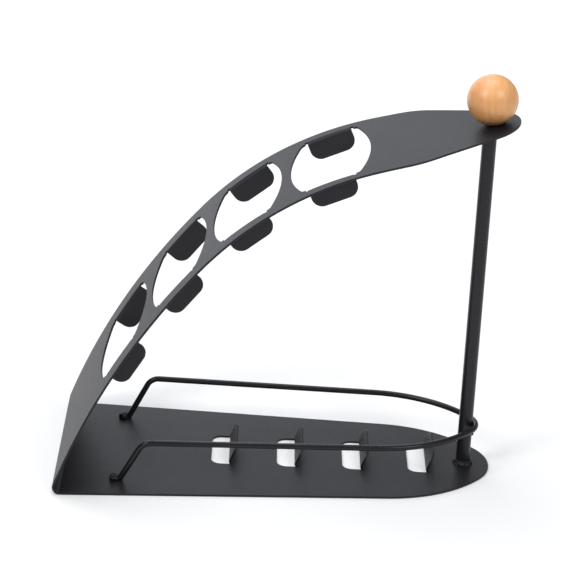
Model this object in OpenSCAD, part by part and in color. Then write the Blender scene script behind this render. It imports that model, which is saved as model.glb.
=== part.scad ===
// Remote control holder: a folded sheet stand with four leaning slots,
// a wire rail, a round post and a wooden ball knob

/* [Sheet] */

// Overall length of the holder, fold to tip
body_l = 200; // [190:1:215]
// Width of the sheet at the fold
fold_w = 95; // [90:1:102]
// Sheet thickness
sheet_t = 1; // [1:0.1:1.5]
// Outer radius of the main fold
fold_r = 3.5; // [3:0.5:5]

/* [Base plate] */

// Radius of the rounded tip of the base plate
base_tip_r = 24; // [20:1:27]
// Radius of the shoulder between side and tip of the base plate
base_shoulder_r = 60; // [54:1:70]
// Angle by which each long side closes toward the tip
base_taper = 3.75; // [3:0.25:4.5]

/* [Rising strip] */

// Angle at which the strip leaves the fold
strip_a0 = 69.8; // [69:0.1:70.6]
// Radius of the tip of the strip
strip_tip_r = 20.5; // [19:0.5:23]
// Radius of the shoulder before the tip of the strip
strip_shoulder_r = 30; // [26:1:34]
// Width of the strip where its shoulder starts
strip_end_w = 71; // [70:0.2:75]
// Length by which the strip reaches past the base plate
strip_over = 1.2; // [0:0.2:1.6]

/* [Slots] */

// Distance between neighbouring slots along the strip
slot_pitch = 42.6; // [42.2:0.1:43]
// Distance from the fold to the middle of the first slot, along the strip
slot_first = 63.4; // [62.6:0.1:64.2]
// Length of a slot along the strip, over its curved ends
slot_l = 38; // [36:0.5:39]
// Width of a slot between its tabs
slot_w = 60; // [54:1:61]
// Radius of the curved ends of a slot
slot_end_r = 80; // [70:1:100]

/* [Tabs] */

// Length of a side tab along the slot
tab_l = 21.2; // [18:0.2:21.4]
// Depth of a side tab below the strip
tab_drop = 10; // [8:0.5:11]
// Corner radius of the side tabs
tab_corner_r = 5; // [3:0.5:5.5]
// Length of a stop tab across the base plate
stop_l = 28; // [24:1:30]
// Height of a stop tab along its own face
stop_h = 7.5; // [6:0.5:8]
// Corner radius of the stop tabs
stop_corner_r = 4.5; // [3:0.5:5]
// Lean of the stop tabs above the base plate
stop_lean = 68; // [64:1:74]
// Distance between neighbouring stop tabs
stop_pitch = 30.5; // [29:0.5:31]
// Distance of the last stop tab from the tip of the base plate
stop_in = 28; // [27:0.5:29]

/* [Rail] */

// Wire diameter of the rail
wire_d = 2.7; // [2.5:0.1:3.5]
// Height of the middle of the rail wire
rail_z = 21.3; // [19:0.1:24]
// Half width of the rail where its legs start
rail_half_w = 34.5; // [33:0.5:36]
// Radius of the nose of the rail, at the middle of the wire
rail_nose_r = 12; // [10:0.5:13]
// Slope of the two legs of the rail
leg_a = 63; // [58:1:68]
// Distance from the fold to the bends at the legs of the rail
leg_in = 39.8; // [38:0.2:42]
// Angle by which the legs lean toward each other
leg_tilt = 8; // [0:1:10]

/* [Post and ball] */

// Diameter of the post
post_d = 6.5; // [6:0.5:8]
// Distance of the post from the tip of the base plate
post_in = 12.1; // [11:0.1:12.5]
// Diameter of the stud on top of the post
stud_d = 4; // [3:0.5:5]
// Diameter of the wooden ball
ball_d = 22.8; // [22:0.2:26]

/* [Hidden] */

$fn = 96;
steel = [0.13, 0.13, 0.14];
bead = [0.16, 0.16, 0.17];
wood = [0.87, 0.66, 0.42];
deg = 180 / PI;

// gaps and contact sizes; far is the length of blocks that only cut
far = 250;
hole_play = 0.2;
stop_play = 0.4;
run_in = 0.5;
relief = 1;
bend_in = 0.8;
bend_out = bend_in + sheet_t;
ball_flat_d = 6;
stud_into_ball = 13;

// outline shared by base plate and rail: a closing side, a shoulder arc
// and a round tip, all tangent
function side_k(x0, y0, a) = x0 * sin(a) + y0 * cos(a);
function shoulder_phi(xt, k, a, rs, rt) = asin((xt * sin(a) - k + rs) / (rs - rt)) - a;

base_x0 = -body_l / 2 + fold_r;
base_xt = body_l / 2 - base_tip_r;
base_k = side_k(base_x0, fold_w / 2, base_taper);
base_phi = shoulder_phi(base_xt, base_k, base_taper, base_shoulder_r, base_tip_r);
base_dc = base_shoulder_r - base_tip_r;
base_cs = [base_xt - base_dc * cos(base_phi), -base_dc * sin(base_phi)];
base_p1 = base_cs + base_shoulder_r * [sin(base_taper), cos(base_taper)];
base_p2 = [base_xt, 0] + base_tip_r * [cos(base_phi), sin(base_phi)];

// side view of the strip: three arcs that turn toward level, then a flat end
arc_r = [334.4, 157.4, 468.6];
arc_a = [strip_a0, strip_a0 - 20.65, strip_a0 - 53.75, strip_a0 - 57.95];
arc_l = [for (i = [0:2]) (arc_a[i] - arc_a[i + 1]) / deg * arc_r[i]];
fold_c = [-body_l / 2 + fold_r, fold_r];
function out(a) = [-sin(a), cos(a)];
arc_p0 = fold_c + fold_r * out(arc_a[0]);
arc_c0 = arc_p0 - arc_r[0] * out(arc_a[0]);
arc_c1 = arc_c0 + (arc_r[0] - arc_r[1]) * out(arc_a[1]);
arc_c2 = arc_c1 + (arc_r[1] - arc_r[2]) * out(arc_a[2]);
arc_c = [arc_c0, arc_c1, arc_c2];
arc_p3 = arc_c2 + arc_r[2] * out(arc_a[3]);
end_a = arc_a[3];

// tiny steps that keep neighbouring round faces apart where they meet, and
// the angles by which an arc runs on under its neighbour
joint_step = 0.01;
arc_step = [joint_step, 0, joint_step / 2];
arc_lap = [[0, 0], [3, 3], [0, 2]];
tab_t = sheet_t - 4 * joint_step;

// the arc, the angle and the point at a distance s along the strip
function arc_at(s) = s < arc_l[0] ? 0 : 1;
function ang_at(s) = s < arc_l[0]
    ? arc_a[0] - s / arc_r[0] * deg
    : arc_a[1] - (s - arc_l[0]) / arc_r[1] * deg;
function point_at(s) = arc_c[arc_at(s)] + arc_r[arc_at(s)] * out(ang_at(s));

// height of the strip's upper face over a place on its flat end
function end_z(x) = arc_p3[1] + (x - arc_p3[0]) * tan(end_a) + joint_step / cos(end_a);

// outline of the strip seen from above
side_r = 1800;
side_p1 = [base_x0 + run_in, fold_w / 2];
side_p2 = [body_l / 4, strip_end_w / 2];
side_m = (side_p1 + side_p2) / 2;
side_d = side_p2 - side_p1;
side_h = sqrt(side_r * side_r - (side_d * side_d) / 4);
side_c = side_m + side_h * [-side_d[1], side_d[0]] / norm(side_d);
side_in = (side_p2 - side_c) / side_r;
side_n = 8;
side_g0 = atan2(side_p1[1] - side_c[1], side_p1[0] - side_c[0]);
side_g1 = atan2(side_p2[1] - side_c[1], side_p2[0] - side_c[0]);
side_pts = [for (i = [0:side_n]) let (g = side_g0 + (side_g1 - side_g0) * i / side_n)
    side_c + side_r * [cos(g), sin(g)]];
tip_cs = side_p2 + strip_shoulder_r * side_in;
tip_ct = [body_l / 2 + strip_over - strip_tip_r, 0];
tip_d = tip_ct - tip_cs;
tip_a = atan2(tip_d[1], tip_d[0]) + acos((strip_shoulder_r - strip_tip_r) / norm(tip_d));
tip_n = [cos(tip_a), sin(tip_a)];
tip_p1 = tip_cs + strip_shoulder_r * tip_n;
tip_p2 = tip_ct + strip_tip_r * tip_n;

// slots and tabs
slot_s = [for (i = [0:3]) slot_first + i * slot_pitch];
slot_corner_r = 2;
slot_cx = slot_end_r - slot_l / 2;
slot_cy = slot_w / 2 - slot_corner_r;
slot_kx = sqrt(pow(slot_end_r - slot_corner_r, 2) - slot_cy * slot_cy);
slot_ky = slot_cy * slot_end_r / (slot_end_r - slot_corner_r);
stop_x = [for (i = [0:3]) body_l / 2 - stop_in - (3 - i) * stop_pitch];
stop_y = 3;
window_l = stop_h + (180 - stop_lean) / deg * (bend_in + sheet_t / 2);
window_w = stop_l + 2 * stop_play;

// rail, all along the middle of the wire
post_x = body_l / 2 - post_in;
nose_x = post_x + post_d / 2 + wire_d / 2;
rail_taper = 2.6;
rail_shoulder_r = 60;
rail_xt = nose_x - rail_nose_r;
leg_x = -body_l / 2 + leg_in;
rail_k = side_k(leg_x, rail_half_w, rail_taper);
rail_phi = shoulder_phi(rail_xt, rail_k, rail_taper, rail_shoulder_r, rail_nose_r);
rail_dc = rail_shoulder_r - rail_nose_r;
rail_cs = [rail_xt - rail_dc * cos(rail_phi), -rail_dc * sin(rail_phi)];
rail_p1 = rail_cs + rail_shoulder_r * [sin(rail_taper), cos(rail_taper)];
leg_bend_r = 6;
leg_cut = leg_bend_r * tan(leg_a / 2);
rail_side_l = norm(rail_p1 - [leg_x, rail_half_w]);
leg_l = (rail_z - sheet_t) / sin(leg_a) - leg_cut;

// middle of a foot of the rail, on the base plate
foot_k = (rail_z - sheet_t) / cos(leg_tilt);
foot_d = [-foot_k / tan(leg_a), -foot_k * sin(leg_tilt)];
foot_x = leg_x + foot_d[0] * cos(rail_taper) + foot_d[1] * sin(rail_taper);
foot_y = rail_half_w - foot_d[0] * sin(rail_taper) + foot_d[1] * cos(rail_taper);

// weld beads
ring_w = 1;
ring_h = 2.2;
gusset_h = 5.6;
bead_r = 2.3;

// post and ball heights
post_top = end_z(post_x) - sheet_t / cos(end_a);
ball_h = sqrt(pow(ball_d / 2, 2) - pow(ball_flat_d / 2, 2));
ball_z = end_z(post_x) + ball_h / cos(end_a);

frame_sheet();
wire_rail();
post();
weld_beads();
wood_ball();

module mirror_y() {
    children();
    mirror([0, 1, 0]) children();
}

// base plate outline from the fold to the round tip
module base_plan() {
    y0 = fold_w / 2;
    polygon([[base_x0, -y0], base_xy(-1), base_xy(1), [base_x0, y0]]);
    intersection() {
        translate(base_cs) circle(r = base_shoulder_r, $fn = 360);
        translate([base_cs[0], -base_cs[1]]) circle(r = base_shoulder_r, $fn = 360);
        translate([base_p1[0], -fold_w]) square([base_p2[0] - base_p1[0], 2 * fold_w]);
    }
    translate([base_xt, 0]) circle(r = base_tip_r, $fn = 180);
}

function base_xy(side) = [base_p1[0], side * base_p1[1]];

// block with the outline of the strip seen from above
module strip_block(h) {
    n = len(side_pts);
    linear_extrude(h) polygon(concat(
        [[-body_l / 2 - 5, fold_w / 2]],
        side_pts,
        [for (i = [n - 1:-1:0]) [side_pts[i][0], -side_pts[i][1]]],
        [[-body_l / 2 - 5, -fold_w / 2]]
    ));
    mirror_y() translate(tip_cs) cylinder(r = strip_shoulder_r - joint_step, h = h, $fn = 180);
    translate(tip_ct) cylinder(r = strip_tip_r - joint_step, h = h, $fn = 180);
    linear_extrude(h) polygon([
        [side_p2[0] - 1, tip_cs[1]],
        tip_cs,
        tip_p1,
        tip_p2,
        [tip_p2[0], -tip_p2[1]],
        [tip_p1[0], -tip_p1[1]],
        [tip_cs[0], -tip_cs[1]],
        [side_p2[0] - 1, -tip_cs[1]]
    ]);
}

// side view of all that lies under the strip, d below its upper face
module under_view(d) {
    intersection() {
        translate(fold_c) circle(r = fold_r - d, $fn = 96);
        polygon([
            fold_c,
            fold_c + [0, -2 * fold_r],
            fold_c + [-3 * fold_r, -2 * fold_r],
            fold_c + [-3 * fold_r, 2 * fold_r],
            fold_c + 2.5 * fold_r * out(arc_a[0] - 20)
        ]);
    }
    for (i = [0:2]) intersection() {
        translate(arc_c[i]) circle(r = arc_r[i] + arc_step[i] - d, $fn = 1440);
        polygon([
            arc_c[i] + (arc_r[i] + 15) * out(arc_a[i] + arc_lap[i][0]),
            arc_c[i] + (arc_r[i] + 15) * out(arc_a[i + 1] - arc_lap[i][1]),
            arc_c[i] + (arc_r[i] - 3 - d) * out(arc_a[i + 1] - arc_lap[i][1]),
            arc_c[i] + (arc_r[i] - 3 - d) * out(arc_a[i] + arc_lap[i][0])
        ]);
    }
    l = (body_l / 2 + strip_over - arc_p3[0]) / cos(end_a) + 2;
    translate(arc_p3) rotate(end_a) translate([0, joint_step - 3 - d]) square([l + d, 3]);
}

// side view of the fold and the strip
module strip_view() {
    difference() {
        under_view(0);
        under_view(sheet_t);
    }
}

// turns a side view drawn in X and Z into a slab across Y
module across(w, y0 = 0) {
    translate([0, y0 + w / 2, 0]) rotate([90, 0, 0]) linear_extrude(w) children();
}

// moves to the middle of a slot, X along the strip and Z off its upper face
module at_slot(i) {
    p = point_at(slot_s[i]);
    translate([p[0], 0, p[1]]) rotate([0, -ang_at(slot_s[i]), 0]) children();
}

// slot with two long straight sides, two curved ends and small corners
module slot_plan() {
    kx = slot_kx - slot_cx;
    square([2 * kx, slot_w], center = true);
    for (x = [-1, 1], y = [-1, 1]) {
        translate([x * kx, y * slot_cy]) circle(r = slot_corner_r, $fn = 48);
    }
    intersection() {
        translate([-slot_cx, 0]) circle(r = slot_end_r, $fn = 720);
        translate([slot_cx, 0]) circle(r = slot_end_r, $fn = 720);
        square([slot_l * 2, 2 * slot_ky], center = true);
    }
}

module slot_cut(i) {
    at_slot(i) translate([0, 0, -12]) linear_extrude(24) slot_plan();
    at_slot(i) cube([tab_l + 2 * relief, slot_w + 2 * bend_out, 8], center = true);
}

// outline of a side tab in the plane that it lies in
module tab_view() {
    r = tab_corner_r;
    translate([-tab_l / 2, -(tab_drop - r)]) square([tab_l, tab_drop - r + 4]);
    translate([-tab_l / 2 + r, -tab_drop]) square([tab_l - 2 * r, tab_drop]);
    for (x = [-1, 1]) translate([x * (tab_l / 2 - r), -(tab_drop - r)]) circle(r = r, $fn = 64);
}

// section of a side tab and its bend, measured from the centre of the arc;
// the bend runs on into the strip
module tab_section(r) {
    y0 = slot_w / 2;
    translate([r - tab_drop - 3, y0]) square([tab_drop + 3 - bend_out, tab_t]);
    intersection() {
        translate([r - bend_out, y0 + bend_out]) difference() {
            circle(r = bend_out, $fn = 64);
            circle(r = bend_out - tab_t, $fn = 64);
        }
        translate([r - bend_out, y0]) square(bend_out);
    }
    translate([r - tab_t, y0 + bend_out]) square([tab_t, run_in]);
}

module side_tab(i) {
    k = arc_at(slot_s[i]);
    c = arc_c[k];
    span = (tab_l + 3) / arc_r[k] * deg;
    intersection() {
        translate([c[0], 0, c[1]])
            rotate([90, 0, 0])
                rotate([0, 0, 90 + ang_at(slot_s[i]) - span / 2])
                    mirror([0, 0, 1])
                        rotate_extrude(angle = span, $fn = 1440)
                            tab_section(arc_r[k] - 2 * joint_step);
        at_slot(i) across(slot_w, slot_w / 2) tab_view();
    }
}

// side view of all that lies on the inner side of a stop tab, d under its
// outer face; a stop tab is a small fold up from the base plate
module stop_under(d) {
    c = [0, bend_out];
    intersection() {
        translate(c) circle(r = bend_out - d, $fn = 64);
        polygon([c, c + [0, -6], c + [-6, -6], c + [-6, 6], c + 6 * out(stop_lean - 30)]);
    }
    translate(c) rotate(stop_lean)
        translate([0, -3 - d]) square([stop_h + 3 + d, 3 + bend_out + joint_step]);
}

module stop_section() {
    difference() {
        stop_under(0);
        stop_under(sheet_t);
    }
}

module stop_face() {
    r = stop_corner_r;
    h = stop_h;
    translate([-h + r, -stop_l / 2]) square([2 * h, stop_l]);
    translate([-h, -stop_l / 2 + r]) square([h, stop_l - 2 * r]);
    for (y = [-1, 1]) translate([-h + r, y * (stop_l / 2 - r)]) circle(r = r, $fn = 64);
}

module stop_tab(i) {
    translate([stop_x[i], stop_y, 0]) intersection() {
        across(stop_l) stop_section();
        translate([0, 0, sheet_t + bend_in])
            rotate([0, 180 - stop_lean, 0])
                translate([0, 0, -20]) linear_extrude(40) stop_face();
    }
}

// window that a stop tab leaves in the base plate
module stop_window(i) {
    r = stop_corner_r;
    y1 = window_w / 2 - r;
    translate([stop_x[i], stop_y, -1]) linear_extrude(sheet_t + 2) {
        translate([-window_l + r, -window_w / 2]) square([window_l - r, window_w]);
        translate([-window_l, -y1]) square([r + 0.1, 2 * y1]);
        for (y = [-1, 1]) translate([-window_l + r, y * y1]) circle(r = r, $fn = 64);
    }
}

module frame_sheet() {
    color(steel) union() {
        difference() {
            linear_extrude(sheet_t) base_plan();
            for (i = [0:3]) stop_window(i);
        }
        for (i = [0:3]) stop_tab(i);
        difference() {
            intersection() {
                across(2 * fold_w) strip_view();
                translate([0, 0, -1]) strip_block(far);
            }
            for (i = [0:3]) slot_cut(i);
            translate([post_x, 0, post_top - 3]) cylinder(d = stud_d + 2 * hole_play, h = 8);
        }
        for (i = [0:3]) mirror_y() side_tab(i);
    }
}

// a straight length of wire, starting at the origin along X
module wire_straight(l) {
    rotate([0, 90, 0]) cylinder(d = wire_d, h = l, $fn = 48);
}

// a bent length of wire, from angle a0 to angle a1
module wire_arc(r, a0, a1, d = wire_d) {
    rotate([0, 0, a0]) rotate_extrude(angle = a1 - a0, $fn = 360)
        translate([r, 0]) circle(d = d, $fn = 48);
}

// a bent length that runs a little way into both of its neighbours
module wire_bend(r, a0, a1) {
    lap = 0.3 / r * deg;
    wire_arc(r, a0 - lap, a1 + lap, wire_d - 4 * joint_step);
}

module rail_nose() {
    translate([rail_xt, 0, rail_z]) wire_arc(rail_nose_r, -rail_phi, rail_phi);
}

module rail_leg() {
    translate([leg_x, rail_half_w, rail_z]) rotate([0, 0, -rail_taper])
        rotate([-leg_tilt, 0, 0])
            rotate([0, 180 - leg_a, 0])
                translate([leg_cut, 0, 0]) wire_straight(leg_l + 6);
}

// one side of the rail, from the foot to the nose
module rail_side() {
    translate([rail_cs[0], rail_cs[1], rail_z])
        wire_bend(rail_shoulder_r, rail_phi, 90 - rail_taper);
    translate([leg_x, rail_half_w, rail_z]) rotate([0, 0, -rail_taper]) {
        translate([leg_cut, 0, 0]) wire_straight(rail_side_l - leg_cut);
        rotate([-leg_tilt, 0, 0]) translate([leg_cut, 0, -leg_bend_r])
            rotate([90, 0, 0]) wire_bend(leg_bend_r, 90, 90 + leg_a);
    }
    rail_leg();
}

module wire_rail() {
    color(steel) difference() {
        union() {
            rail_nose();
            mirror_y() rail_side();
        }
        translate([-body_l, -fold_w, -20 + sheet_t]) cube([2 * body_l, 2 * fold_w, 20]);
    }
}

// half space under the lower face of the flat end of the strip
module below_end(x0 = post_x) {
    translate([x0, 0, end_z(x0)]) rotate([0, -end_a, 0])
        translate([-far / 2, -far / 2, -far - sheet_t]) cube(far);
}

module post() {
    color(steel) union() {
        intersection() {
            translate([post_x, 0, sheet_t]) cylinder(d = post_d, h = far);
            below_end();
        }
        translate([post_x, 0, post_top - 4])
            cylinder(d = stud_d, h = 4 + ball_z - post_top - ball_h + stud_into_ball);
    }
}

// ring round the foot of the post
module foot_ring() {
    translate([post_x, 0, 0]) rotate_extrude($fn = 96) polygon([
        [post_d / 2, sheet_t],
        [post_d / 2 + ring_w, sheet_t],
        [post_d / 2 + ring_w, sheet_t + 0.25 * ring_h],
        [post_d / 2 + 0.4 * ring_w, sheet_t + 0.85 * ring_h],
        [post_d / 2, sheet_t + ring_h]
    ]);
}

// small gusset between the post and the nose of the rail
module nose_gusset() {
    x0 = post_x + post_d / 2;
    difference() {
        across(wire_d) polygon([
            [x0 - 1, rail_z],
            [x0 + 0.7 * wire_d, rail_z],
            [x0 + 0.7 * wire_d, rail_z - wire_d / 3],
            [x0 + 0.3, rail_z - gusset_h],
            [x0 - 1, rail_z - gusset_h]
        ]);
        translate([post_x, 0, 0]) cylinder(d = post_d, h = 60);
        rail_nose();
        translate([post_x, -10, rail_z]) cube([20, 20, 10]);
    }
}

// bead at a foot of the rail
module foot_bead() {
    difference() {
        translate([foot_x - 0.9 * bead_r, foot_y, sheet_t + 0.3 * bead_r]) sphere(r = bead_r);
        translate([-body_l, -fold_w, -20 + sheet_t]) cube([2 * body_l, 2 * fold_w, 20]);
        rail_leg();
    }
}

module weld_beads() {
    color(bead) {
        foot_ring();
        nose_gusset();
        mirror_y() foot_bead();
    }
}

module wood_ball() {
    color(wood) difference() {
        translate([post_x, 0, ball_z]) sphere(d = ball_d, $fn = 128);
        below_ball();
        translate([post_x, 0, ball_z - ball_d])
            cylinder(d = stud_d + hole_play, h = ball_d - ball_h + stud_into_ball + 0.3);
    }
}

// everything under the upper face of the flat end of the strip
module below_ball() {
    translate([post_x, 0, end_z(post_x)]) rotate([0, -end_a, 0])
        translate([-ball_d, -ball_d, -2 * ball_d]) cube(2 * ball_d);
}
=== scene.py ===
import math

import bmesh
import bpy
import numpy as np
from mathutils import Matrix, Vector
from mathutils.geometry import delaunay_2d_cdt
from mathutils.noise import fractal


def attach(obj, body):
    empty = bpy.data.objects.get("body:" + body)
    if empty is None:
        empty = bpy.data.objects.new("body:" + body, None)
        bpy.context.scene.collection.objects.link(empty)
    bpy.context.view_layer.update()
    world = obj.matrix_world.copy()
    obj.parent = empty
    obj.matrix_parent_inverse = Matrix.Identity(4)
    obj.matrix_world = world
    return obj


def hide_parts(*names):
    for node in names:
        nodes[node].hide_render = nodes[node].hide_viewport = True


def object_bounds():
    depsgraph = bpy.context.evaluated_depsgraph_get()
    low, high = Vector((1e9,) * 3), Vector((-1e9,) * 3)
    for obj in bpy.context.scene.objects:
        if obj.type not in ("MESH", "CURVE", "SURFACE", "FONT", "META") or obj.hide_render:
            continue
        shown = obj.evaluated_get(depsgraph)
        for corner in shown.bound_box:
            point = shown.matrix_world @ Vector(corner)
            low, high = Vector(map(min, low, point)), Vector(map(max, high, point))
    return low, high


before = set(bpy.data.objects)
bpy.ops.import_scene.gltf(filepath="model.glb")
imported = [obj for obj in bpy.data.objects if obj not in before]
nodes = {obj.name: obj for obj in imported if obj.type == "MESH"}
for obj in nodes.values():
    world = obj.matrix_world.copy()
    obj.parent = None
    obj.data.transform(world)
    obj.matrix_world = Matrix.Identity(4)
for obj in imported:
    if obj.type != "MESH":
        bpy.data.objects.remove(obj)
cad_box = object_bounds()
MM = 0.001

# camera, fitted to the photograph
PHOTO_PX = 576
SENSOR_MM = 36.0
FOCAL_PX = 2390.8
CAM_ELEVATION = math.radians(22.746)
CAM_AZIMUTH = math.radians(1.036)
CAM_ROLL = math.radians(2.941)
CAM_DISTANCE = 1.08606
CAM_TARGET = Vector((0.00215, 0.0, 0.08567))

# the sheet in millimetres: lengths, widths and radii
BODY_L, FOLD_W, SHEET_T, FOLD_R = 200.0, 95.0, 1.0, 3.5
BASE_TIP_R, BASE_SHOULDER_R = 24.0, 60.0
STRIP_TIP_R, STRIP_SHOULDER_R, STRIP_END_W, STRIP_OVER = 20.5, 30.0, 71.0, 1.2
SIDE_R, SIDE_RUN = 1800.0, 0.5
SLOT_S = [63.4 + 42.6 * i for i in range(4)]
SLOT_L, SLOT_W, SLOT_END_R, SLOT_CORNER_R = 38.0, 60.0, 80.0, 2.0
TAB_L, TAB_DROP, TAB_CORNER_R, RELIEF = 21.2, 10.0, 5.0, 1.0
STOP_X = [72.0 - 30.5 * i for i in range(4)]
STOP_Y, STOP_L, STOP_H, STOP_CORNER_R, STOP_GAP = 3.0, 28.0, 7.5, 4.5, 0.4
BEND_OUT = 1.8
POST_X, STUD_HOLE_R = 87.9, 2.2

# the sheet's angles, and the radii of the strip's three arcs
BASE_TAPER = math.radians(3.75)
STOP_LEAN = math.radians(68)
ARC_A = [math.radians(69.8 - d) for d in (0, 20.65, 53.75, 57.95)]
ARC_R = [334.4, 157.4, 468.6]
END_A = ARC_A[3]

# the painted copy of the sheet, in millimetres: radius of its rims, length of a stop tab's
# bend on the flat pattern, and drop over which a side tab loses the strip's curve
RIM_R = 0.2
STOP_BEND = 2.3
SAG_DROP = 3.0

# what keeps the copy inside the CAD box: a scale along X and a cut off the tip's radius
SNUG = 0.99994
TIP_CUT = 0.016

# slack in millimetres for points on a tab's edge and on its round corner
EDGE_SLACK = 0.01
CORNER_SLACK = 0.1

# mesh of the sheet: rows across each bend, and pieces round each arc
FOLD_ROWS, TAB_ROWS, STOP_ROWS = 16, 8, 9
BASE_TIP_N, BASE_SHOULDER_N = 30, 24
SIDE_N, STRIP_SHOULDER_N, STRIP_TIP_N = 48, 14, 30
SLOT_END_N, SLOT_CORNER_N, TAB_CORNER_N, HOLE_N = 22, 6, 9, 24

# mesh of the sheet: steps in millimetres along the straight edges
BASE_STEP, STRIP_STEP = 4.0, 3.0
NOTCH_SIDE_STEP, NOTCH_END_STEP = 0.6, 0.5
TAB_SIDE_STEP, TAB_END_STEP = 1.2, 1.5
STOP_END_STEP, WINDOW_SIDE_STEP = 1.6, 1.5

# mesh of the sheet: inner points, in millimetres unless they are counts
BASE_ROW_START, BASE_ROW_STOP, BASE_ROW_STEP = 4.0, -1.0, 5.0
STRIP_ROW_START, STRIP_ROW_STEP = 2.5, 3.0
GRID_HALF, GRID_Y = 16, 3.0
TAB_HALF, TAB_COL, STOP_COL = 6, 1.5, 2.0
DEPTH_START, DEPTH_STOP, DEPTH_STEP = 1.5, 0.8, 1.8
CLEAR_U, CLEAR_Y = 0.5, 0.8
NEAR_EDGE = 0.75
MERGE = 1e-6

# least divisor of a mitre, and shortest way that is still turned into a direction
MITRE_MIN = 0.35
TINY = 1e-9

# weld lumps in metres: step of the mesh, height and frequency of the lumps,
# spread, height and reach of the skirt at the foot of the post
WELD_STEP, LUMP, LUMP_SCALE = 0.00016, 0.00035, 800.0
SKIRT, SKIRT_H, SKIRT_REACH, SKIRT_SCALE = 0.0009, 0.0022, 0.006, 1.7
FRACTAL = (1.0, 2.0, 2)
SMOOTHING = 0.5

# powder coat
PAINT_TONES = [(0.3, (0.0110, 0.0108, 0.0138)), (0.7, (0.0150, 0.0148, 0.0186))]
PAINT_IOR = 1.36
CLOUD_SCALE, GLOSS_SCALE, PEEL_SCALE = 45.0, 600.0, 2600.0
PAINT_DETAIL, PEEL_ROUGH = 3.0, 0.6
PEEL_STRENGTH, PEEL_DEPTH = 0.35, 0.00006
SHEET_ROUGHNESS = (0.40, 0.50)
ROD_ROUGHNESS = (0.24, 0.34)

# varnished wood
WOOD_TONES = [
    (0.30, (0.66, 0.285, 0.095)),
    (0.50, (0.80, 0.385, 0.145)),
    (0.70, (0.90, 0.480, 0.205)),
]
FIGURE_TURN, FIGURE_STRETCH = (0.35, 0.25, 0.0), (1.0, 1.0, 0.22)
FIBRES = (1300.0, 5.0, 0.65)
FIGURE = (190.0, 3.0, 0.55, 1.2)
PATCHES = (95.0, 3.0, 0.5, 0.4)
RINGS = {"Scale": 120.0, "Distortion": 5.0, "Detail": 3.0, "Detail Scale": 1.6}
RINGS_SHARE, PATCHES_SHARE, FIBRES_SHARE = 0.14, 0.5, 0.22
WOOD_ROUGHNESS = (0.38, 0.50)
FIBRE_STRENGTH, FIBRE_DEPTH = 0.12, 0.00008
VARNISH, VARNISH_ROUGHNESS = 0.4, 0.34

# stage: half the floor's side, its drop below the part in metres, its glow and the
# distances over which that grows, the world's level, and the lamps with their place,
# aim, size, power and colour
FLOOR_HALF, FLOOR_DROP = 4.0, 0.00005
FLOOR_COLOUR, FLOOR_ROUGHNESS, FLOOR_SPECULAR = (0.86, 0.86, 0.865, 1.0), 0.9, 0.1
FLOOR_GLOW = (0.13, 0.75)
FLOOR_REACH = (0.25, 1.6)
WORLD_LEVEL = 0.25
WHITE = (1.0, 1.0, 1.0)
LAMPS = [
    ("behind", (-0.35, 1.25, 0.6), (0, 0, 0.1), 1.4, 5.6, (0.88, 0.93, 1.0)),
    ("overhead", (-0.10, 0.20, 1.1), (0, 0, 0.08), 0.8, 6.2, (0.95, 0.97, 1.0)),
    ("front_left", (-0.75, -0.62, 0.95), (0.09, 0, 0.18), 0.5, 6.4, WHITE),
    ("front_right", (0.66, -0.72, 0.95), (0.09, 0, 0.18), 0.44, 4.8, WHITE),
]


def out(a):
    """Direction off the outer face of the sheet, in X and Z, where it rises at angle a."""
    return np.array([-math.sin(a), math.cos(a)])


def polar(centre, r, a):
    """Point at a distance and an angle from a centre."""
    return np.array([centre[0] + r * math.cos(a), centre[1] + r * math.sin(a)])


def arc(centre, r, a0, a1, n):
    """Points of an arc in n pieces, both ends among them."""
    return [polar(centre, r, a0 + (a1 - a0) * i / n) for i in range(n + 1)]


def line(p, q, step):
    """Points of a straight line about a step apart, both ends among them."""
    p, q = np.array(p, float), np.array(q, float)
    n = max(1, round(np.linalg.norm(q - p) / step))
    return [p + (q - p) * i / n for i in range(n + 1)]


# places that follow: fold, arcs of the strip, roots and ends of the tabs, window length
BASE_X0 = -BODY_L / 2 + FOLD_R
FOLD_C = np.array([BASE_X0, FOLD_R])
FOLD_LEN = FOLD_R * (math.pi - ARC_A[0])
ARC_L = [(ARC_A[i] - ARC_A[i + 1]) * ARC_R[i] for i in range(3)]
ARC_C = [FOLD_C + (FOLD_R - ARC_R[0]) * out(ARC_A[0])]
ARC_C.append(ARC_C[0] + (ARC_R[0] - ARC_R[1]) * out(ARC_A[1]))
ARC_C.append(ARC_C[1] + (ARC_R[1] - ARC_R[2]) * out(ARC_A[2]))
ARC_P3 = ARC_C[2] + ARC_R[2] * out(END_A)
ROOT_Y = SLOT_W / 2 + BEND_OUT
TAB_BEND = BEND_OUT * math.pi / 2
TAB_END = TAB_BEND + TAB_DROP - BEND_OUT
STOP_END = STOP_BEND + STOP_H
WINDOW_L = STOP_H + (math.pi - STOP_LEAN) * (BEND_OUT - SHEET_T / 2)


def along(x):
    """Place along the flat pattern, from the fold, of a place x on the strip."""
    start = 0.0
    for i in range(3):
        if x <= ARC_C[i][0] - ARC_R[i] * math.sin(ARC_A[i + 1]):
            a = math.asin((ARC_C[i][0] - x) / ARC_R[i])
            return FOLD_LEN + start + (ARC_A[i] - a) * ARC_R[i]
        start += ARC_L[i]
    return FOLD_LEN + start + (x - ARC_P3[0]) / math.cos(END_A)


def spread(p, n, y, ny=0.0):
    """Point and normal in space from a point and normal in X and Z."""
    return np.array([p[0] * SNUG, y, p[1]]), np.array([n[0], ny, n[1]])


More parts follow.
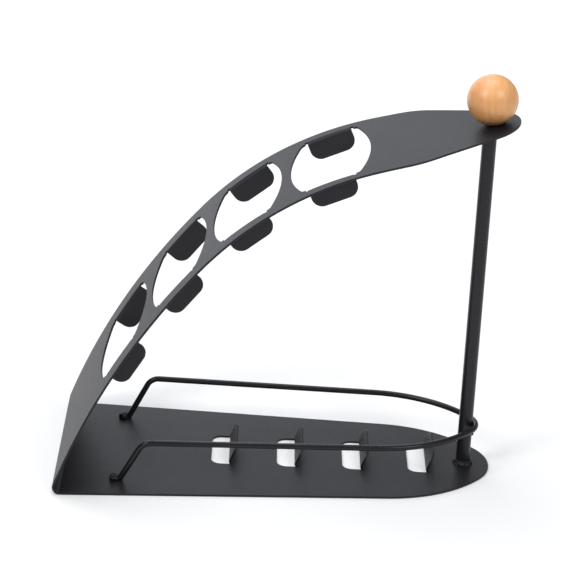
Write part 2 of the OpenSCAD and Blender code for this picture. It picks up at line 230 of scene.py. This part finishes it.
def on_stop(w, y):
    """Whether a place w from the root of a stop tab and y from its middle lies on the tab."""
    if not (0 <= w <= STOP_END + EDGE_SLACK and abs(y) <= STOP_L / 2 + EDGE_SLACK):
        return False
    dw, dy = w - (STOP_END - STOP_CORNER_R), abs(y) - (STOP_L / 2 - STOP_CORNER_R)
    return dw < 0 or dy < 0 or math.hypot(dw, dy) < STOP_CORNER_R + CORNER_SLACK


def on_side_tab(x, y):
    """Whether a place x from the middle of a slot lies on one of its side tabs."""
    return abs(x) <= TAB_L / 2 + EDGE_SLACK and 0 < ROOT_Y - abs(y) <= TAB_END + EDGE_SLACK


def slope(s):
    """Angle at which the strip rises at a distance s from the fold."""
    for i in range(3):
        if s < ARC_L[i]:
            return ARC_A[i] - s / ARC_R[i]
        s -= ARC_L[i]
    return END_A


def side_tab(s, si, y, w):
    """Point and normal on a side tab of the slot at si, w from the tab's root."""
    k = 0 if si < ARC_L[0] else 1
    mid, r = slope(si), ARC_R[k]
    x = r * math.sin((s - si) / r)
    t = min(w, TAB_BEND) / BEND_OUT
    drop = max(w - TAB_BEND, 0.0)
    rho = r - BEND_OUT + BEND_OUT * math.cos(t)
    sag = rho - math.sqrt(rho * rho - x * x)
    z = rho - r - drop - sag * max(0.0, 1.0 - drop / SAG_DROP)
    top = ARC_C[k] + r * out(mid)
    p = top + x * np.array([math.cos(mid), math.sin(mid)]) + z * out(mid)
    side = math.copysign(1.0, y)
    n = out(mid - math.asin(x / rho)) * math.cos(t)
    return spread(p, n, side * (ROOT_Y - BEND_OUT * math.sin(t)), -side * math.sin(t))


def bent(u, y):
    """Point and normal of the sheet's outer face at a place on its flat pattern."""
    if u <= 0:
        x = BASE_X0 - u
        for sx in STOP_X:
            w = sx - x
            if on_stop(w, y - STOP_Y):
                a = math.pi - min(w / STOP_BEND, 1.0) * (math.pi - STOP_LEAN)
                rise = max(w - STOP_BEND, 0.0) * np.array([math.cos(a), math.sin(a)])
                return spread(np.array([sx, BEND_OUT]) + BEND_OUT * out(a) + rise, out(a), y)
        return spread((x, 0.0), (0.0, -1.0), y)
    if u < FOLD_LEN:
        n = out(math.pi - u / FOLD_R)
        return spread(FOLD_C + FOLD_R * n, n, y)
    s = u - FOLD_LEN
    for si in SLOT_S:
        if on_side_tab(s - si, y):
            return side_tab(s, si, y, ROOT_Y - abs(y))
    for i in range(3):
        if s < ARC_L[i]:
            n = out(ARC_A[i] - s / ARC_R[i])
            return spread(ARC_C[i] + ARC_R[i] * n, n, y)
        s -= ARC_L[i]
    run = s * np.array([math.cos(END_A), math.sin(END_A)])
    return spread(ARC_P3 + run, out(END_A), y)


def shoulder(xt, x0, y0, a, rs, rt):
    """Shoulder arc between a closing side and a round tip: its angle and centre."""
    k = x0 * math.sin(a) + y0 * math.cos(a)
    phi = math.asin((xt * math.sin(a) - k + rs) / (rs - rt)) - a
    return phi, (xt - (rs - rt) * math.cos(phi), -(rs - rt) * math.sin(phi))


def base_edge():
    """Edge of the base plate from its tip to the fold, on the side where Y is positive."""
    xt = BODY_L / 2 - BASE_TIP_R
    phi, cs = shoulder(xt, BASE_X0, FOLD_W / 2, BASE_TAPER, BASE_SHOULDER_R, BASE_TIP_R)
    pts = arc((xt, 0.0), BASE_TIP_R, 0.0, phi, BASE_TIP_N)
    pts += arc(cs, BASE_SHOULDER_R, phi, math.pi / 2 - BASE_TAPER, BASE_SHOULDER_N)[1:]
    pts += line(pts[-1], (BASE_X0, FOLD_W / 2), BASE_STEP)[1:]
    return [(BASE_X0 - x, y) for x, y in pts]


def strip_edge():
    """Edge of the strip from the fold to its tip, on the side where Y is positive."""
    p1 = np.array([BASE_X0 + SIDE_RUN, FOLD_W / 2])
    p2 = np.array([BODY_L / 4, STRIP_END_W / 2])
    d = p2 - p1
    rise = math.sqrt(SIDE_R ** 2 - d @ d / 4)
    c = (p1 + p2) / 2 + rise * np.array([-d[1], d[0]]) / np.linalg.norm(d)
    g0, g1 = (math.atan2(*(p - c)[::-1]) for p in (p1, p2))
    pts = arc(c, SIDE_R, g0, g1, SIDE_N)
    inward = (p2 - c) / SIDE_R
    cs = p2 + STRIP_SHOULDER_R * inward
    ct = np.array([BODY_L / 2 + STRIP_OVER - STRIP_TIP_R, 0.0])
    gap = ct - cs
    a = math.atan2(gap[1], gap[0])
    a += math.acos((STRIP_SHOULDER_R - STRIP_TIP_R) / np.linalg.norm(gap))
    a_start = math.atan2(-inward[1], -inward[0])
    pts += arc(cs, STRIP_SHOULDER_R, a_start, a, STRIP_SHOULDER_N)[1:]
    pts += line(pts[-1], polar(ct, STRIP_TIP_R, a), STRIP_STEP)[1:]
    pts += arc(ct, STRIP_TIP_R - TIP_CUT, a, 0.0, STRIP_TIP_N)[1:]
    s0 = [(FOLD_LEN * i / FOLD_ROWS, FOLD_W / 2) for i in range(1, FOLD_ROWS + 1)]
    s1 = line((FOLD_LEN, FOLD_W / 2), (along(p1[0]), FOLD_W / 2), STRIP_STEP)[1:-1]
    return s0 + s1 + [(along(x), y) for x, y in pts]


def slot_loop(si):
    """Edge of a slot and its two tabs on the flat pattern."""
    cx = SLOT_END_R - SLOT_L / 2
    cy = SLOT_W / 2 - SLOT_CORNER_R
    kx = math.sqrt((SLOT_END_R - SLOT_CORNER_R) ** 2 - cy * cy) - cx
    g = math.atan2(cy, -kx - cx)
    half = arc((cx, 0.0), SLOT_END_R, math.pi, g, SLOT_END_N)[1:]
    half += arc((-kx, cy), SLOT_CORNER_R, g, math.pi / 2, SLOT_CORNER_N)[1:-1]
    x0, x1 = TAB_L / 2, TAB_L / 2 + RELIEF
    half += [(-x1, SLOT_W / 2)]
    half += line((-x1, SLOT_W / 2), (-x1, ROOT_Y), NOTCH_SIDE_STEP)[1:]
    half += line((-x1, ROOT_Y), (-x0, ROOT_Y), NOTCH_END_STEP)[1:]
    half += [(-x0, ROOT_Y - TAB_BEND * k / TAB_ROWS) for k in range(1, TAB_ROWS + 1)]
    y0, y1, r = ROOT_Y - TAB_BEND, ROOT_Y - TAB_END, TAB_CORNER_R
    half += line((-x0, y0), (-x0, y1 + r), TAB_SIDE_STEP)[1:]
    half += arc((-x0 + r, y1 + r), r, math.pi, 1.5 * math.pi, TAB_CORNER_N)[1:]
    half += line((-x0 + r, y1), (0.0, y1), TAB_END_STEP)[1:-1]
    upper = half + [(0.0, y1)] + [(-x, y) for x, y in half[::-1]]
    lower = [(x, -y) for x, y in upper[::-1]]
    loop = [(-SLOT_L / 2, 0.0)] + upper + [(SLOT_L / 2, 0.0)] + lower
    return [(FOLD_LEN + si + x, y) for x, y in loop]


def stop_loop(sx):
    """Edge of a stop tab and of the window it leaves, on the flat pattern."""
    r = STOP_CORNER_R
    y1 = STOP_L / 2
    half = line((0.0, y1), (STOP_BEND, y1), STOP_BEND / STOP_ROWS)
    half += line((STOP_BEND, y1), (STOP_END - r, y1), TAB_SIDE_STEP)[1:]
    half += arc((STOP_END - r, y1 - r), r, math.pi / 2, 0.0, TAB_CORNER_N)[1:]
    half += line((STOP_END, y1 - r), (STOP_END, 0.0), STOP_END_STEP)[1:]
    y2 = y1 + STOP_GAP
    outer = [(0.0, y2)] + line((0.0, y2), (WINDOW_L - r, y2), WINDOW_SIDE_STEP)[1:]
    outer += arc((WINDOW_L - r, y2 - r), r, math.pi / 2, 0.0, TAB_CORNER_N)[1:]
    outer += line((WINDOW_L, y2 - r), (WINDOW_L, 0.0), STOP_END_STEP)[1:]
    flap = half + [(w, -y) for w, y in half[-2::-1]]
    window = outer + [(w, -y) for w, y in outer[-2::-1]]
    return [(BASE_X0 - sx + w, STOP_Y + y) for w, y in flap + window[::-1]]


def hole_loop():
    """Edge of the stud's hole on the flat pattern."""
    return arc((along(POST_X), 0.0), STUD_HOLE_R, 0.0, 2 * math.pi, HOLE_N)[:-1]


def shift(p, deep, cut, m):
    """Way along m by which a cut made at angle cut moves the rim at a depth."""
    s = p[0] - FOLD_LEN
    if cut is None or s <= 0 or any(on_side_tab(s - si, p[1]) for si in SLOT_S):
        return 0.0
    return -deep * math.tan(slope(s) - cut) * m[0]


def area_of(loop):
    """Area inside a loop, above 0 where the loop runs anticlockwise."""
    x, y = loop[:, 0], loop[:, 1]
    return 0.5 * np.sum(x * np.roll(y, -1) - np.roll(x, -1) * y)


def inside(pts, loops):
    """Which points lie on the sheet: an odd number of crossings with all the loops."""
    odd = np.zeros(len(pts), bool)
    for loop in loops:
        for (ax, ay), (bx, by) in zip(loop, np.roll(loop, -1, axis=0)):
            if ay == by:
                continue
            cross = (ay > pts[:, 1]) != (by > pts[:, 1])
            odd ^= cross & (pts[:, 0] < (bx - ax) * (pts[:, 1] - ay) / (by - ay) + ax)
    return odd


def clear_of(pts, loops, gap):
    """Which points are at least a gap away from all the loops."""
    keep = np.ones(len(pts), bool)
    for loop in loops:
        for a, b in zip(loop, np.roll(loop, -1, axis=0)):
            d = b - a
            t = np.clip(((pts - a) @ d) / (d @ d), 0, 1)
            keep &= np.hypot(*(pts - a - t[:, None] * d).T) >= gap
    return keep


def on_sheet(tris, rim):
    """The triangles inside the outline, found from the way the rim runs."""
    owner = {(t[k], t[(k + 1) % 3]): i for i, t in enumerate(tris) for k in range(3)}
    todo = [owner[e] for e in rim if e in owner]
    seen = set(todo)
    while todo:
        t = tris[todo.pop()]
        for k in range(3):
            e = (t[k], t[(k + 1) % 3])
            other = owner.get(e[::-1])
            if e not in rim and other is not None and other not in seen:
                seen.add(other)
                todo.append(other)
    return [tris[i] for i in sorted(seen)]


def tab_rows(bend, end, rows):
    """Distances from a tab's root of the rows of inner points on it."""
    depth = [bend * k / rows for k in range(rows + 1)]
    return depth + list(np.arange(bend + DEPTH_START, end - DEPTH_STOP, DEPTH_STEP))


def grid_points():
    """Inner points of the flat pattern, in rows that follow its bends."""
    u_end = along(BODY_L / 2 + STRIP_OVER)
    rows = list(np.arange(BASE_X0 - BODY_L / 2 + BASE_ROW_START, BASE_ROW_STOP, BASE_ROW_STEP))
    rows += [FOLD_LEN * k / FOLD_ROWS for k in range(FOLD_ROWS + 1)]
    rows += list(np.arange(FOLD_LEN + STRIP_ROW_START, u_end, STRIP_ROW_STEP))
    ys = np.arange(-GRID_HALF, GRID_HALF + 1) * GRID_Y
    grid = np.array([(u, y) for u in rows for y in ys])
    keep = np.ones(len(grid), bool)
    extra = []
    cols = np.arange(-TAB_HALF, TAB_HALF + 1)
    for si in SLOT_S:
        c = FOLD_LEN + si
        near = np.abs(grid[:, 0] - c) < TAB_L / 2 + CLEAR_U
        keep &= ~(near & (np.abs(grid[:, 1]) < ROOT_Y + CLEAR_Y))
        depth = tab_rows(TAB_BEND, TAB_END, TAB_ROWS)
        extra += [(c + x, side * (ROOT_Y - w))
                  for x in cols * TAB_COL for w in depth for side in (-1, 1)]
    for sx in STOP_X:
        c = BASE_X0 - sx
        near = (grid[:, 0] > c - CLEAR_U) & (grid[:, 0] < c + WINDOW_L + CLEAR_U)
        keep &= ~(near & (np.abs(grid[:, 1] - STOP_Y) < STOP_L / 2 + CLEAR_Y))
        depth = tab_rows(STOP_BEND, STOP_END, STOP_ROWS)
        extra += [(c + w, STOP_Y + y) for y in cols * STOP_COL for w in depth]
    return np.vstack([grid[keep], extra])


def mitred(loop, outer):
    """A loop turned so that the sheet lies on its left, and at each point the way inward."""
    p = np.array(loop, float)
    if (area_of(p) > 0) != outer:
        p = p[::-1]
    d = np.roll(p, -1, axis=0) - p
    d /= np.linalg.norm(d, axis=1)[:, None]
    n2 = np.stack([-d[:, 1], d[:, 0]], axis=1)
    n1 = np.roll(n2, 1, axis=0)
    return p, (n1 + n2) / np.maximum(1 + np.sum(n1 * n2, axis=1), MITRE_MIN)[:, None]


def flat_sheet(insets):
    """Points and triangles of the flat pattern, and where each inset point went."""
    inner = grid_points()
    inner = inner[inside(inner, insets)]
    inner = inner[clear_of(inner, insets, NEAR_EDGE)]
    flat = np.vstack(insets + [inner])
    edges, start = [], 0
    for p in insets:
        n = len(p)
        edges += [(start + i, start + (i + 1) % n) for i in range(n)]
        start += n
    done = delaunay_2d_cdt([Vector(p) for p in flat], edges, [], 0, MERGE)
    co = np.array([tuple(v) for v in done[0]])
    order = {old: new for new, olds in enumerate(done[3]) for old in olds}
    tris = on_sheet([tuple(f) for f in done[2]], {(order[i], order[j]) for i, j in edges})
    return co, order, tris


def rim_rows(p, m, cut):
    """Points and normals of the rows that round a rim, from the outer to the inner face."""
    tips = [bent(*(q + EDGE_SLACK * w))[0] - bent(*(q + RIM_R * w))[0] for q, w in zip(p, m)]
    rows = []
    for g, side in ((math.pi / 4, 1), (math.pi / 2, 1), (math.pi / 2, -1), (math.pi / 4, -1)):
        e = RIM_R * (1 - math.sin(g))
        deep = RIM_R * (1 - math.cos(g))
        deep = deep if side > 0 else SHEET_T - deep
        row = []
        for q, w, tip in zip(p, m, tips):
            spot, n = bent(*(q + (e + shift(q, deep, cut, w)) * w))
            away = tip - n * (tip @ n)
            away /= max(np.linalg.norm(away), TINY)
            row.append((spot - n * deep, n * math.cos(g) * side + away * math.sin(g)))
        rows.append(row)
    return rows


def sheet_mesh(name):
    """The whole bent sheet with softly rounded rims, made from its flat pattern."""
    edge = base_edge() + strip_edge()
    edge = edge + [(u, -y) for u, y in edge[-2:0:-1]]
    loops = [edge] + [slot_loop(s) for s in SLOT_S] + [stop_loop(x) for x in STOP_X]
    loops.append(hole_loop())
    cuts = [0.0] + [slope(s) for s in SLOT_S] + [None] * len(STOP_X) + [0.0]
    rims = [(*mitred(loop, i == 0), cuts[i]) for i, loop in enumerate(loops)]
    co, order, tris = flat_sheet([p + RIM_R * m for p, m, _ in rims])

    here = [bent(*p) for p in co]
    low = [p - n * SHEET_T for p, n in here]
    n_flat = len(co)
    starts = np.cumsum([0] + [len(p) for p, _, _ in rims])
    for (p, m, cut), start in zip(rims, starts):
        for i, (q, w) in enumerate(zip(p, m)):
            spot, n = bent(*(q + (RIM_R + shift(q, SHEET_T, cut, w)) * w))
            low[order[start + i]] = spot - n * SHEET_T
    verts = [p for p, _ in here] + low
    norms = [n for _, n in here] + [-n for _, n in here]
    faces = tris + [tuple(i + n_flat for i in t[::-1]) for t in tris]
    for (p, m, cut), start in zip(rims, starts):
        n = len(p)
        rings = [[order[start + i] for i in range(n)]]
        for row in rim_rows(p, m, cut):
            rings.append(list(range(len(verts), len(verts) + n)))
            verts += [spot for spot, _ in row]
            norms += [normal for _, normal in row]
        rings.append([i + n_flat for i in rings[0]])
        for r0, r1 in zip(rings, rings[1:]):
            for i in range(n):
                j = (i + 1) % n
                faces.append((r0[i], r1[i], r1[j], r0[j]))
    mesh = bpy.data.meshes.new(name)
    mesh.from_pydata([tuple(v * MM) for v in verts], [], faces)
    mesh.shade_smooth()
    mesh.normals_split_custom_set_from_vertices([tuple(v / np.linalg.norm(v)) for v in norms])
    return mesh


def painted_sheet():
    """The sheet with soft rims in place of the CAD node."""
    obj = bpy.data.objects.new("frame_sheet_painted", sheet_mesh("frame_sheet_painted"))
    bpy.context.scene.collection.objects.link(obj)
    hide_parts("frame_sheet")
    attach(obj, "root")
    return obj


def lump(co, way, floor_z):
    """How far a point of the weld beads moves: a lump, and a skirt at the post's foot."""
    move = way * LUMP * fractal(co * LUMP_SCALE, *FRACTAL)
    around = Vector((co.x - POST_X * MM, co.y, 0.0))
    if around.length < SKIRT_REACH and co.z < SKIRT_REACH:
        low = max(1.0 - (co.z - floor_z) / SKIRT_H, 0.0)
        uneven = 0.5 + 0.5 * fractal(around.normalized() * SKIRT_SCALE, *FRACTAL)
        move += around.normalized() * SKIRT * low * uneven
    return move


def lumpy_welds():
    """The weld beads with the uneven lumps of a weld under paint."""
    obj = bpy.data.objects.new("weld_beads_lumpy", nodes["weld_beads"].data.copy())
    bpy.context.scene.collection.objects.link(obj)
    even = obj.modifiers.new("even", "REMESH")
    even.mode = "VOXEL"
    even.voxel_size = WELD_STEP
    deps = bpy.context.evaluated_depsgraph_get()
    mesh = bpy.data.meshes.new_from_object(obj.evaluated_get(deps))
    mesh.name = "weld_beads_lumpy"
    obj.modifiers.clear()
    obj.data = mesh
    bm = bmesh.new()
    bm.from_mesh(mesh)
    bm.normal_update()
    floor_z = SHEET_T * MM
    for v, way in [(v, v.normal.copy()) for v in bm.verts]:
        v.co += lump(v.co, way, floor_z)
    bmesh.ops.smooth_vert(bm, verts=bm.verts, factor=SMOOTHING,
                          use_axis_x=True, use_axis_y=True, use_axis_z=True)
    for v in bm.verts:
        v.co.z = max(v.co.z, floor_z)
    bm.to_mesh(mesh)
    bm.free()
    mesh.shade_smooth()
    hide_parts("weld_beads")
    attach(obj, "root")
    return obj


def add_camera():
    """The photograph's camera: looks along +Y, a little down, and leans to the left."""
    az, el, roll = CAM_AZIMUTH, CAM_ELEVATION, CAM_ROLL
    ahead = Vector((math.sin(az) * math.cos(el), math.cos(az) * math.cos(el), -math.sin(el)))
    right = Vector((math.cos(az), -math.sin(az), 0.0))
    up = right.cross(ahead)
    side = math.cos(roll) * right + math.sin(roll) * up
    top = -math.sin(roll) * right + math.cos(roll) * up
    data = bpy.data.cameras.new("camera")
    data.sensor_width = SENSOR_MM
    data.lens = FOCAL_PX / PHOTO_PX * SENSOR_MM
    cam = bpy.data.objects.new("camera", data)
    turn = Matrix((side, top, -ahead)).transposed().to_4x4()
    cam.matrix_world = Matrix.Translation(CAM_TARGET - CAM_DISTANCE * ahead) @ turn
    bpy.context.scene.collection.objects.link(cam)
    bpy.context.scene.camera = cam


def new_material(name):
    """An empty node material: its nodes, its links and its Principled shader."""
    mat = bpy.data.materials.new(name)
    mat.use_nodes = True
    tree = mat.node_tree
    return mat, tree.nodes, tree.links, tree.nodes["Principled BSDF"]


def noise(tree_nodes, links, coord, scale, detail, rough=0.55, distortion=0.0):
    """The value of a noise texture at a coordinate."""
    n = tree_nodes.new("ShaderNodeTexNoise")
    n.inputs["Scale"].default_value = scale
    n.inputs["Detail"].default_value = detail
    n.inputs["Roughness"].default_value = rough
    n.inputs["Distortion"].default_value = distortion
    links.new(coord, n.inputs["Vector"])
    return n.outputs["Fac"]


def ramp(tree_nodes, links, fac, stops):
    """A colour that follows fac through the stops."""
    r = tree_nodes.new("ShaderNodeValToRGB")
    while len(r.color_ramp.elements) < len(stops):
        r.color_ramp.elements.new(0.5)
    for e, (pos, col) in zip(r.color_ramp.elements, stops):
        e.position = pos
        e.color = (*col, 1.0)
    links.new(fac, r.inputs["Fac"])
    return r.outputs["Color"]


def span(tree_nodes, links, fac, low, high):
    """A value from low to high as fac goes from 0 to 1."""
    m = tree_nodes.new("ShaderNodeMapRange")
    m.inputs["To Min"].default_value = low
    m.inputs["To Max"].default_value = high
    links.new(fac, m.inputs["Value"])
    return m.outputs["Result"]


def blend(tree_nodes, links, share, a, b):
    """A value that takes share of b and the rest of a."""
    m = tree_nodes.new("ShaderNodeMix")
    m.inputs["Factor"].default_value = share
    links.new(a, m.inputs["A"])
    links.new(b, m.inputs["B"])
    return m.outputs["Result"]


def emboss(tree_nodes, links, bsdf, height, strength, depth):
    """A bump that follows a height."""
    bump = tree_nodes.new("ShaderNodeBump")
    bump.inputs["Strength"].default_value = strength
    bump.inputs["Distance"].default_value = depth
    links.new(height, bump.inputs["Height"])
    links.new(bump.outputs["Normal"], bsdf.inputs["Normal"])


def powder_coat(name, smooth, matte):
    """Matte black powder coat: a fine orange peel, faint clouds in tone and gloss."""
    mat, n, links, bsdf = new_material(name)
    coord = n.new("ShaderNodeTexCoord").outputs["Object"]
    clouds = noise(n, links, coord, CLOUD_SCALE, PAINT_DETAIL)
    links.new(ramp(n, links, clouds, PAINT_TONES), bsdf.inputs["Base Color"])
    peel = noise(n, links, coord, PEEL_SCALE, PAINT_DETAIL, PEEL_ROUGH)
    gloss = noise(n, links, coord, GLOSS_SCALE, PAINT_DETAIL)
    links.new(span(n, links, gloss, smooth, matte), bsdf.inputs["Roughness"])
    emboss(n, links, bsdf, peel, PEEL_STRENGTH, PEEL_DEPTH)
    bsdf.inputs["IOR"].default_value = PAINT_IOR
    return mat


def light_wood():
    """Light turned wood under a clear varnish: soft patches of figure and fine fibres."""
    mat, n, links, bsdf = new_material("light_wood")
    coord = n.new("ShaderNodeTexCoord").outputs["Object"]
    mapping = n.new("ShaderNodeMapping")
    mapping.inputs["Rotation"].default_value = FIGURE_TURN
    mapping.inputs["Scale"].default_value = FIGURE_STRETCH
    links.new(coord, mapping.inputs["Vector"])
    along_grain = mapping.outputs["Vector"]
    fibres = noise(n, links, along_grain, *FIBRES)
    figure = noise(n, links, along_grain, *FIGURE)
    patches = noise(n, links, coord, *PATCHES)
    rings = n.new("ShaderNodeTexWave")
    rings.wave_type = "RINGS"
    rings.rings_direction = "Z"
    for socket, value in RINGS.items():
        rings.inputs[socket].default_value = value
    links.new(along_grain, rings.inputs["Vector"])
    grain = blend(n, links, RINGS_SHARE, figure, rings.outputs["Fac"])
    grain = blend(n, links, PATCHES_SHARE, grain, patches)
    grain = blend(n, links, FIBRES_SHARE, grain, fibres)
    links.new(ramp(n, links, grain, WOOD_TONES), bsdf.inputs["Base Color"])
    links.new(span(n, links, fibres, *WOOD_ROUGHNESS), bsdf.inputs["Roughness"])
    emboss(n, links, bsdf, fibres, FIBRE_STRENGTH, FIBRE_DEPTH)
    bsdf.inputs["Coat Weight"].default_value = VARNISH
    bsdf.inputs["Coat Roughness"].default_value = VARNISH_ROUGHNESS
    return mat


def put_on(obj, mat):
    """Gives all the material slots of an object one material."""
    if not obj.material_slots:
        obj.data.materials.append(mat)
    for s in obj.material_slots:
        s.material = mat


def area_light(name, place, target, size, power, colour):
    """A round lamp that points at a target."""
    data = bpy.data.lights.new(name, "AREA")
    data.shape = "DISK"
    data.size = size
    data.energy = power
    data.color = colour
    lamp = bpy.data.objects.new(name, data)
    place = Vector(place)
    aim = (Vector(target) - place).to_track_quat("-Z", "Y")
    lamp.matrix_world = Matrix.Translation(place) @ aim.to_matrix().to_4x4()
    bpy.context.scene.collection.objects.link(lamp)


def floor_material():
    """Pale floor that glows for the camera and in reflections, more so farther out."""
    mat, n, links, bsdf = new_material("pale_floor")
    bsdf.inputs["Base Color"].default_value = FLOOR_COLOUR
    bsdf.inputs["Roughness"].default_value = FLOOR_ROUGHNESS
    bsdf.inputs["Specular IOR Level"].default_value = FLOOR_SPECULAR
    bsdf.inputs["Emission Color"].default_value = (*WHITE, 1.0)
    path = n.new("ShaderNodeLightPath")
    seen = n.new("ShaderNodeMath")
    seen.operation = "MAXIMUM"
    links.new(path.outputs["Is Camera Ray"], seen.inputs[0])
    links.new(path.outputs["Is Glossy Ray"], seen.inputs[1])
    away = n.new("ShaderNodeVectorMath")
    away.operation = "LENGTH"
    links.new(n.new("ShaderNodeTexCoord").outputs["Object"], away.inputs[0])
    glow = n.new("ShaderNodeMapRange")
    glow.inputs["From Min"].default_value, glow.inputs["From Max"].default_value = FLOOR_REACH
    glow.inputs["To Min"].default_value, glow.inputs["To Max"].default_value = FLOOR_GLOW
    links.new(away.outputs["Value"], glow.inputs["Value"])
    lit = n.new("ShaderNodeMath")
    lit.operation = "MULTIPLY"
    links.new(seen.outputs[0], lit.inputs[0])
    links.new(glow.outputs["Result"], lit.inputs[1])
    links.new(lit.outputs[0], bsdf.inputs["Emission Strength"])
    return mat


def add_stage():
    """Pale floor, a plain white world and four soft lights."""
    h = FLOOR_HALF
    corners = [(-h, -h, 0), (h, -h, 0), (h, h, 0), (-h, h, 0)]
    mesh = bpy.data.meshes.new("floor")
    mesh.from_pydata(corners, [], [(0, 1, 2, 3)])
    floor = bpy.data.objects.new("floor", mesh)
    floor.location = (0.0, 0.0, cad_box[0][2] - FLOOR_DROP)
    bpy.context.scene.collection.objects.link(floor)
    put_on(floor, floor_material())

    world = bpy.data.worlds.new("world")
    bpy.context.scene.world = world
    world.use_nodes = True
    back = world.node_tree.nodes["Background"]
    back.inputs["Color"].default_value = (*WHITE, 1.0)
    wn, wl = world.node_tree.nodes, world.node_tree.links
    seen = wn.new("ShaderNodeLightPath").outputs["Is Camera Ray"]
    wl.new(span(wn, wl, seen, WORLD_LEVEL, 1.0), back.inputs["Strength"])

    for lamp in LAMPS:
        area_light(*lamp)
    bpy.context.scene.view_settings.view_transform = "Standard"


add_camera()
black = powder_coat("powder_coat", *SHEET_ROUGHNESS)
satin = powder_coat("powder_coat_on_rod", *ROD_ROUGHNESS)
wood = light_wood()
put_on(painted_sheet(), black)
put_on(lumpy_welds(), black)
for name in ("wire_rail", "post"):
    put_on(nodes[name], satin)
put_on(nodes["wood_ball"], wood)
add_stage()
